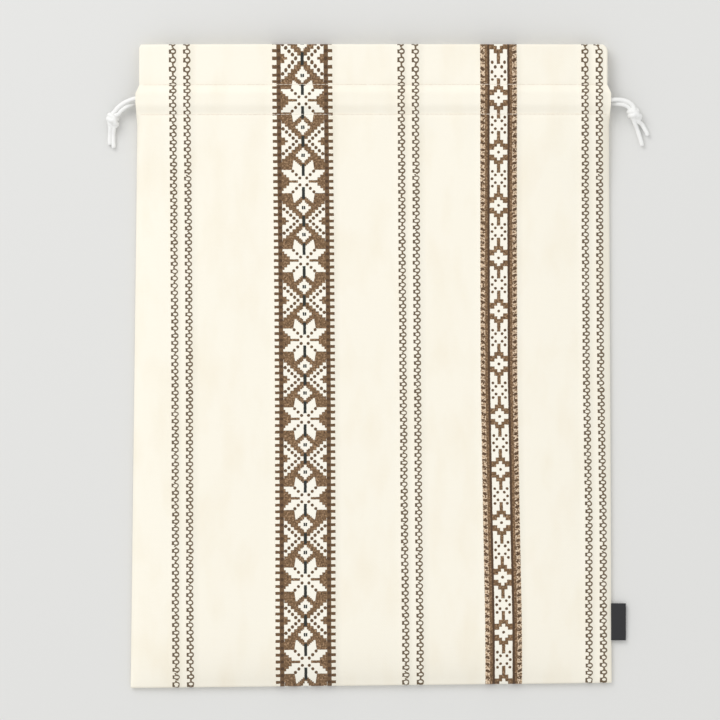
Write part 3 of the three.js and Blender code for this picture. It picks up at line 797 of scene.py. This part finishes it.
def cotton(props):
    """Cream cotton with its woven bands and chain stripes."""
    finish = Finish("patterned_cotton", Roughness=0.9, Sheen_Weight=0.12, Sheen_Roughness=0.5)
    raw_x, raw_y, _ = finish.place("UV")
    wobble = finish.speckle(raw_x, raw_y, 1.6) - 0.5
    slip = finish.speckle(raw_y, raw_x, 1.6, 2, 5) - 0.5
    x = raw_x + wobble * 0.5
    y = raw_y + slip * 0.5
    cream, white, brown = opaque(props.cream), opaque(props.white), opaque(props.brown)
    light, dark, green = opaque(props.light_brown), opaque(props.dark_brown), opaque(props.green)
    olive, pale = opaque(props.olive), opaque(props.pale_brown)
    cloud = finish.speckle(raw_x, raw_y, 60, 3)
    # Painted shade of soft creases: patches stretched up the cloth darken and yellow the cream ground
    crease_shade_mask = finish.speckle(raw_x, raw_y * 0.4, 17, 3, 20)
    fibre = finish.speckle(raw_x * 0.25, raw_y, 1.4, 2, 4)
    fleck = finish.speckle(raw_x, raw_y, 1.15, 1, 9)
    grain = finish.speckle(raw_x, raw_y, 1.0, 1, 12)
    ground = finish.mixed(cloud * 0.35 + fibre * 0.3, cream, white)
    ground = finish.mixed((crease_shade_mask - 0.46) * 1.8, ground, opaque(props.crease_shade_colour))
    tweed = finish.mixed((fleck - 0.49) * 4.4, brown, light)
    tweed = finish.mixed((0.49 - grain) * 4.4, tweed, dark)
    shadow = finish.mixed(fleck * 1.6 - 0.2, dark, brown)
    band, border, blob, figures, dots, bars = star_band(finish, x, y)
    small, line, side, small_blob, small_figures, small_dots = small_band(finish, x, y)
    chains, tail = chain_stripes(finish, x, y)
    colour = finish.mixed(band | small, ground, tweed)
    colour = finish.mixed(border & band, colour, finish.mixed(grain * 0.9 + 0.3, dark, brown))
    colour = finish.mixed(blob & band, colour, finish.mixed(0.2, dark, brown))
    checked = finish.mixed((grain - 0.4) * 5.0, light, pale)
    colour = finish.mixed(side & small & (fleck + grain > 0.9), colour, checked)
    checks = small_blob & small & (fleck > 0.38)
    colour = finish.mixed(checks, colour, finish.mixed(grain * 0.8, dark, brown))
    colour = finish.mixed(line, colour, finish.mixed(grain * 0.4, dark, brown))
    colour = finish.mixed((figures & band) | (small_figures & small), colour, white)
    colour = finish.mixed((dots & band) | (small_dots & small), colour, shadow)
    colour = finish.mixed(bars & band, colour, green)
    colour = finish.mixed(chains, colour, finish.mixed(tail * 0.25 + fleck * 0.3 - 0.05, olive, dark))
    finish.paint(colour)
    wave = math.pi / (props.thread / MM)
    weave = (raw_x * wave).sine() * (raw_y * wave).sine() * 0.5 + 0.5
    raised = (figures & band) | (small_figures & small) | chains
    finish.bump(weave * 0.5 + fibre * 0.35 + raised * 0.9, 0.16 * MM, 0.7)
    return finish.material


def sew_stitches(props):
    """Rows of stitches along both stitch lines, outside on the front and on the back."""
    bm = bmesh.new()
    thread = props.sewing_thread / MM
    pitch = props.stitch / MM
    for line in (UPPER_STITCH, LOWER_STITCH):
        reach = half_width(line) - STITCH_END
        count = round(2 * reach / pitch)
        for i in range(count):
            x = middle(line) - reach + pitch * (i + 0.5)
            woven_x = x - drift(x, line)
            proud = any(abs(woven_x - at) < width / 2 for at, width in WOVEN_BANDS)
            front = layer_height(FRONT, x, line, proud) + CLOTH / 2 + STITCH_PROUD * thread
            slope = (layer_height(FRONT, x + 1, line, 0) - layer_height(FRONT, x - 1, line, 0)) / 2
            for z, tilt in ((front, -math.atan(slope)), (WEAVE - 0.05, 0)):
                made = bmesh.ops.create_uvsphere(bm, u_segments=6, v_segments=5, radius=0.5)["verts"]
                bmesh.ops.rotate(bm, verts=made, matrix=Matrix.Rotation(math.pi / 2, 3, "Y"))
                size = Vector((STITCH_SHARE * pitch, thread, STITCH_FLAT * thread)) * MM
                bmesh.ops.scale(bm, verts=made, vec=size)
                bmesh.ops.rotate(bm, verts=made, matrix=Matrix.Rotation(tilt, 3, "Y"))
                at = placed(x, lie_y(x, line), max(z, STITCH_FLAT / 2 * thread))
                bmesh.ops.translate(bm, verts=made, vec=at)
    return bm


def sewing_thread(props):
    finish = Finish("sewing_thread", Roughness=0.75, Sheen_Weight=0.2)
    x, y, _ = finish.place("Object")
    twist = ((x + y * 1.6) * (2 * math.pi / 0.7)).sine() * 0.5 + 0.5
    thread = opaque(linear(242, 230, 216))
    finish.paint(finish.mixed(twist * 0.35, thread, opaque(props.cream)))
    finish.bump(twist, 0.05 * MM)
    return finish.material


class POUCH_OT_cloth(bpy.types.Operator):
    """Sews the pouch from one length of patterned cotton, with its casing and header turned in"""

    bl_idname = "pouch.cloth"
    bl_label = "Cloth"

    def execute(self, context):
        props = context.scene.pouch_cloth
        cloth = piece_from(
            sew_cloth(props), "patterned_cloth", cotton(props), "woven_cotton", "pouch_cloth"
        )
        wall = cloth.modifiers.new("Layer", "SOLIDIFY")
        wall.thickness = CLOTH * MM
        wall.offset = 0
        turned_in = HEIGHT - HEM_EDGE
        2 * (HEIGHT + turned_in) * MM
        piece_from(sew_stitches(props), "stitch_lines", sewing_thread(props), "woven_cotton")
        return {"FINISHED"}


# Drawcords

# One strand of the loose overhand knot, in cord thicknesses from its middle: across, towards the pouch and
# up, and the direction in which the second strand lies beside it
KNOT_TURNS = (
    ((-0.15, 1.45, 0.3), (0.95, 0, 0.3)),
    ((-0.2, 0.6, 0.4), (0.9, 0.1, 0.35)),
    ((-0.15, -0.4, 0.4), (0.85, 0.1, 0.5)),
    ((0.05, -1.15, 0.1), (0.8, 0.5, 0.3)),
    ((0.75, -1.4, -0.3), (0.1, 0.95, 0.2)),
    ((1.3, -0.75, -0.1), (-0.7, 0.7, 0.1)),
    ((1.05, -0.15, 0.75), (-0.2, 0.97, 0.1)),
    ((0.1, 0.25, 1.15), (-0.2, -0.97, 0)),
    ((-0.95, 0.45, 0.75), (-0.1, -0.99, 0)),
    ((-1.25, 0.5, -0.2), (0, -1, 0)),
    ((-0.65, 0.55, -1.05), (0, -1, 0)),
    ((0.35, 0.8, -1.05), (-0.3, -0.95, 0)),
    ((0.75, 0.6, -0.45), (-0.9, -0.4, 0.1)),
    ((0.4, -0.3, -0.35), (-1, 0, 0)),
    ((0.1, -1.3, -0.35), (-1, 0, 0)),
    ((0.0, -2.2, -0.35), (-1, 0, 0)),
)

# Each cord from its knot to the slit in front and at the back, and its two tails, in millimetres
LEFT_CORD = {
    "side": -1, "row": LEFT_CORD_ROW, "knot": (-161.9, 353.3, 4.3), "leans": (-30, 0),
    "front": (
        (-160.0, 358.6, 5.1), (-158.0, 361.0, 5.2), (-154.2, 363.8, 5.7), (-149.6, 365.8, 6.6),
        (-145, 366.8, 7.6),
    ),
    "back": (
        (-158.0, 356.8, 4.6), (-155.8, 359.2, 4.8), (-152.4, 361.5, 4.9), (-147.9, 363.0, 3.8),
        (-143, 364.9, 2.8),
    ),
    "tails": (
        ((-161.1, 344.4, 1.9), (-161.1, 340, 1.5), (-161.0, 335.6, FLOOR_LINE)),
        ((-163.2, 344.6, 2.1), (-163.4, 341, 1.6), (-163.5, 337.6, FLOOR_LINE)),
    ),
    "exit": (-152.5, 362.9, 4.4),
}
RIGHT_CORD = {
    "side": 1, "row": RIGHT_CORD_ROW, "knot": (162.6, 356.6, 4.3), "leans": (13, 20),
    "front": (
        (162.1, 361.8, 5.3), (159.2, 364.2, 5.6), (155.0, 365.5, 5.9), (150.4, 365.7, 6.8),
        (146, 365.2, 7.8),
    ),
    "back": (
        (159.8, 360.6, 4.8), (157.0, 362.4, 5.1), (152.8, 363.1, 5.1), (148.4, 363.2, 3.9),
        (143.6, 363.6, 2.8),
    ),
    "tails": (
        ((164.7, 347.8, 1.9), (166.5, 342.4, 1.5), (168.1, 336.9, FLOOR_LINE)),
        ((167.6, 350.6, 2.0), (169.8, 347.0, 1.6), (171.6, 343.3, FLOOR_LINE)),
    ),
    "exit": (152.5, 364.2, 5),
}


def catmull(points, step):
    """A smooth line through the points, in even steps."""
    dense = []
    ends = [points[0] * 2 - points[1], *points, points[-1] * 2 - points[-2]]
    for p0, p1, p2, p3 in zip(ends, ends[1:], ends[2:], ends[3:]):
        t0 = 0
        t1 = t0 + (p1 - p0).length ** 0.5
        t2 = t1 + (p2 - p1).length ** 0.5
        t3 = t2 + (p3 - p2).length ** 0.5
        for i in range(24):
            t = lerp(t1, t2, i / 24)
            a1 = p0 * ((t1 - t) / (t1 - t0)) + p1 * ((t - t0) / (t1 - t0))
            a2 = p1 * ((t2 - t) / (t2 - t1)) + p2 * ((t - t1) / (t2 - t1))
            a3 = p2 * ((t3 - t) / (t3 - t2)) + p3 * ((t - t2) / (t3 - t2))
            b1 = a1 * ((t2 - t) / (t2 - t0)) + a2 * ((t - t0) / (t2 - t0))
            b2 = a2 * ((t3 - t) / (t3 - t1)) + a3 * ((t - t1) / (t3 - t1))
            dense.append(b1 * ((t2 - t) / (t2 - t1)) + b2 * ((t - t1) / (t2 - t1)))
    dense.append(points[-1].copy())
    walked = [0.0]
    for a, b in zip(dense, dense[1:]):
        walked.append(walked[-1] + (b - a).length)
    count = max(2, round(walked[-1] / step))
    line, k = [], 0
    for i in range(count + 1):
        want = walked[-1] * i / count
        while k < len(dense) - 2 and walked[k + 1] < want:
            k += 1
        span = max(walked[k + 1] - walked[k], 1e-9)
        line.append(dense[k].lerp(dense[k + 1], clamp((want - walked[k]) / span)))
    return line


def knot_strand(centre, leans, side):
    """Points of one strand through the tight knot, from the pouch to the tails."""
    points = []
    for at, beside in KNOT_TURNS:
        lean = lerp(*leans, clamp(0.5 - at[1] / 3))
        offset = (Vector(at) * KNOT_TIGHT + Vector(beside).normalized() * side * KNOT_APART) * CORD
        points.append(Vector(centre) + Matrix.Rotation(math.radians(lean), 3, "Z") @ offset)
    return points


def front_run(x, row):
    return WEAVE + front_outside(x, row) - CLOTH - CASING_ROOM / 2


def casing_route(side, row):
    """Through the front casing, round the far end and back through the back casing."""
    shares = (0.93, 0.75, 0.45, 0, -0.45, -0.75, -0.93)
    runs = [middle(row) + side * s * half_width(row) for s in shares]
    far = edge_x(-side, row) + side * (CORD / 2 + TURN_INSET)
    front = [Vector((x, lie_y(x, row), front_run(x, row))) for x in runs]
    back = [Vector((x, lie_y(x, row), BACK_RUN)) for x in reversed(runs)]
    radius = (front_run(far, row) - BACK_RUN) / 2
    turn = [
        Vector((
            far + side * radius * (1 - math.cos(a)), lie_y(far, row), BACK_RUN + radius * (1 + math.sin(a))
        ))
        for a in map(math.radians, (60, 25, -25, -60))
    ]
    return front + turn + back


def cord_route(cord, step):
    """The whole drawcord from one tail to the other, in the frame's metres."""
    sides = (cord["side"], -cord["side"])
    near, beside = (knot_strand(cord["knot"], cord["leans"], side) for side in sides)
    first, second = ([Vector(p) for p in tail] for tail in cord["tails"])
    points = list(reversed(first)) + list(reversed(near))
    points += [Vector(p) for p in cord["front"]] + casing_route(cord["side"], cord["row"])
    points += [Vector(p) for p in reversed(cord["back"])] + beside + second
    return [placed(*p) for p in catmull(points, step)]


def braid_cord(route, radius, knot):
    """A tube along the route: a grid rolled round it, fuller in the knot, with rounded cut ends."""
    bm = bmesh.new()
    woven = bm.loops.layers.uv.new("plait")
    last = len(route) - 1
    bmesh.ops.create_grid(bm, x_segments=last, y_segments=CORD_SIDES, size=1)
    tangents = [(route[min(i + 1, last)] - route[max(i - 1, 0)]).normalized() for i in range(last + 1)]
    up = Vector((0, 0, 1))
    frames = []
    for tangent in tangents:
        up = (up - tangent * up.dot(tangent)).normalized()
        frames.append((up.copy(), tangent.cross(up)))
    step = (route[1] - route[0]).length
    for vertex in bm.verts:
        i = round((vertex.co.x + 1) / 2 * last)
        j = round((vertex.co.y + 1) / 2 * CORD_SIDES)
        angle = 2 * math.pi * j / CORD_SIDES
        from_end = min(i, last - i) * step
        girth = radius * (0.78 + 0.22 * clamp(from_end / radius) ** 0.5)
        girth *= lerp(KNOT_SWELL, 1, smooth((route[i] - knot).length / MM, *KNOT_REACH))
        first, second = frames[i]
        vertex.co = route[i] + (first * math.cos(angle) + second * math.sin(angle)) * girth
        for loop in vertex.link_loops:
            loop[woven].uv = (i * step, angle * radius)
    bmesh.ops.remove_doubles(bm, verts=bm.verts, dist=0.001 * MM)
    ends = [edge for edge in bm.edges if edge.is_boundary]
    bmesh.ops.holes_fill(bm, edges=ends, sides=CORD_SIDES)
    bmesh.ops.recalc_face_normals(bm, faces=bm.faces)
    return bm


def braided_cotton(props):
    finish = Finish("braided_cotton", Roughness=0.85, Sheen_Weight=0.25, Sheen_Roughness=0.4)
    along, around, _ = finish.place("UV")
    wave = 2 * math.pi / 1.5
    plait = ((along + around * 1.1) * wave).sine() * ((along - around * 1.1) * wave).sine()
    fibre = finish.speckle(along * 0.4, around, 0.35)
    white = opaque(props.colour)
    shade = opaque(tuple(c * 0.9 for c in props.colour))
    finish.paint(finish.mixed(plait * 0.25 + fibre * 0.5, shade, white))
    finish.bump(plait * 0.4 + fibre * 0.4, 0.12 * MM, 0.6)
    return finish.material


class POUCH_OT_cords(bpy.types.Operator):
    """Threads the two drawcords through the casings and knots each at its own side"""

    bl_idname = "pouch.cords"
    bl_label = "Drawcords"

    def execute(self, context):
        props = context.scene.pouch_cords
        material = braided_cotton(props)
        for name, node, cord in (
            ("left_cord", "left_drawcord", LEFT_CORD),
            ("right_cord", "right_drawcord", RIGHT_CORD),
        ):
            route = cord_route(cord, props.step / MM)
            tube = braid_cord(route, props.diameter / 2, placed(*cord["knot"]))
            piece = piece_from(tube, name, material, "cotton_cord", node)
        return {"FINISHED"}


# Side tag

def fold_tag():
    """A strip of ribbon folded in two, with its fold outwards and its ends in the seam."""
    half = TAG_FOLD
    root = edge_x(1, TAG_HEIGHT)
    level = WEAVE + CLOTH + TAG_LIFT + CLEARANCE + 1.5 * TAG_LAYER
    straight = TAG_REACH - half - TAG_LAYER / 2 + TAG_ROOT
    length = 2 * straight + math.pi * half
    bm = bmesh.new()
    ribbon = bm.loops.layers.uv.new("ribbon")
    bmesh.ops.create_grid(bm, x_segments=TAG_GRID[0], y_segments=TAG_GRID[1], size=1)
    for vertex in bm.verts:
        s = (vertex.co.x + 1) / 2 * length
        w = vertex.co.y * TAG_LENGTH / 2
        for loop in vertex.link_loops:
            loop[ribbon].uv = (s * MM, w * MM)
        if s < straight:
            x, z = s - TAG_ROOT, -half
        elif s > length - straight:
            x, z = length - s - TAG_ROOT, half
        else:
            turn = (s - straight) / half - math.pi / 2
            x, z = straight - TAG_ROOT + half * math.cos(turn), half * math.sin(turn)
        curl = TAG_CURL * clamp(x / TAG_REACH) ** 2 * math.sin(w / 4)
        vertex.co = placed(root + x, lie_y(root, TAG_HEIGHT) + w, level + z + curl)
    return bm


def ribbon(props):
    finish = Finish("black_ribbon", Roughness=0.62, Sheen_Weight=0.3, Sheen_Roughness=0.4)
    x, y, _ = finish.place("UV")
    ribs = (y * (2 * math.pi / 0.42)).sine() * 0.5 + 0.5
    fleck = finish.speckle(x, y * 0.3, 0.3)
    black = opaque(props.colour)
    # Painted sheen: a lighter copy of the black lies on the crests of the ribs; the flecks mixed in with
    # it are random lighter thread
    rib_sheen = opaque(tuple(min(1, c * 2.4) for c in props.colour))
    finish.paint(finish.mixed(ribs * 0.4 + fleck * 0.4, black, rib_sheen))
    finish.bump(ribs * 0.7 + fleck * 0.3, 0.06 * MM)
    return finish.material


class POUCH_OT_tag(bpy.types.Operator):
    """Folds the plain black ribbon tag into the right side seam"""

    bl_idname = "pouch.tag"
    bl_label = "Side tag"

    def execute(self, context):
        black = ribbon(context.scene.pouch_tag)
        tag = piece_from(fold_tag(), "ribbon_tag", black, "tag_ribbon", "side_tag")
        wall = tag.modifiers.new("Layer", "SOLIDIFY")
        wall.thickness = TAG_LAYER * MM
        wall.offset = 0
        return {"FINISHED"}


class POUCH_OT_stage(bpy.types.Operator):
    """Lays the pale floor, sets the soft light and looks straight down"""

    bl_idname = "pouch.stage"
    bl_label = "Stage"

    def execute(self, context):
        props = context.scene.pouch_stage
        scene = context.scene
        bm = bmesh.new()
        bmesh.ops.create_grid(bm, x_segments=1, y_segments=1, size=FLOOR_REACH)
        bmesh.ops.translate(bm, verts=bm.verts, vec=(0, 0, -FLOOR_DROP))
        mesh = bpy.data.meshes.new("floor")
        bm.to_mesh(mesh)
        bm.free()
        floor = bpy.data.objects.new("floor", mesh)
        scene.collection.objects.link(floor)
        finish = Finish("pale_floor", Roughness=0.9)
        x, y, _ = finish.place("Object")
        shade = finish.speckle(x, y, 400)
        shaded = opaque(tuple(c * 0.96 for c in props.floor))
        finish.paint(finish.mixed(shade * 0.3, opaque(props.floor), shaded))
        mesh.materials.append(finish.material)

        camera = bpy.data.objects.new("camera", bpy.data.cameras.new("camera"))
        scene.collection.objects.link(camera)
        camera.location = (props.aim_x, props.aim_y, props.view_distance)
        camera.data.lens = camera.data.sensor_width * props.view_distance / props.view_width
        camera.data.clip_end = VIEW_LIMIT
        scene.camera = camera

        lamp = bpy.data.lights.new("window_light", "AREA")
        lamp.shape = "SQUARE"
        lamp.size = LAMP_SIZE
        lamp.energy = LAMP_POWER
        light = bpy.data.objects.new("window_light", lamp)
        scene.collection.objects.link(light)
        light.location = LAMP_PLACE
        light.rotation_euler = (-light.location).to_track_quat("-Z", "Y").to_euler()

        world = bpy.data.worlds.new("studio")
        world.use_nodes = True
        background = world.node_tree.nodes["Background"]
        background.inputs["Color"].default_value = (1, 1, 1, 1)
        background.inputs["Strength"].default_value = SKY_STRENGTH
        scene.world = world
        scene.view_settings.view_transform = "Standard"
        return {"FINISHED"}


class POUCH_PT_panel(bpy.types.Panel):
    """Buttons for the pieces of the pouch"""

    bl_label = "Kinchaku pouch"
    bl_idname = "POUCH_PT_panel"
    bl_space_type = "VIEW_3D"
    bl_region_type = "UI"
    bl_category = "Pouch"

    def draw(self, context):
        for operator in OPERATORS:
            self.layout.operator(operator.bl_idname)
        for group in GROUPS:
            box = self.layout.box()
            owner = getattr(context.scene, group)
            for name in owner.__annotations__:
                box.prop(owner, name)


GROUPS = {
    "pouch_cloth": PouchCloth, "pouch_cords": PouchCords,
    "pouch_tag": PouchTag, "pouch_stage": PouchStage,
}
OPERATORS = (POUCH_OT_stage, POUCH_OT_cords, POUCH_OT_cloth, POUCH_OT_tag)


def register():
    for cls in (*GROUPS.values(), *OPERATORS, POUCH_PT_panel):
        bpy.utils.register_class(cls)
    for name, group in GROUPS.items():
        setattr(bpy.types.Scene, name, PointerProperty(type=group))


def unregister():
    for name in GROUPS:
        delattr(bpy.types.Scene, name)
    for cls in reversed((*GROUPS.values(), *OPERATORS, POUCH_PT_panel)):
        bpy.utils.unregister_class(cls)


def main():
    register()
    for make in (bpy.ops.pouch.stage, bpy.ops.pouch.cords, bpy.ops.pouch.cloth, bpy.ops.pouch.tag):
        make()


if __name__ == "__main__":
    main()
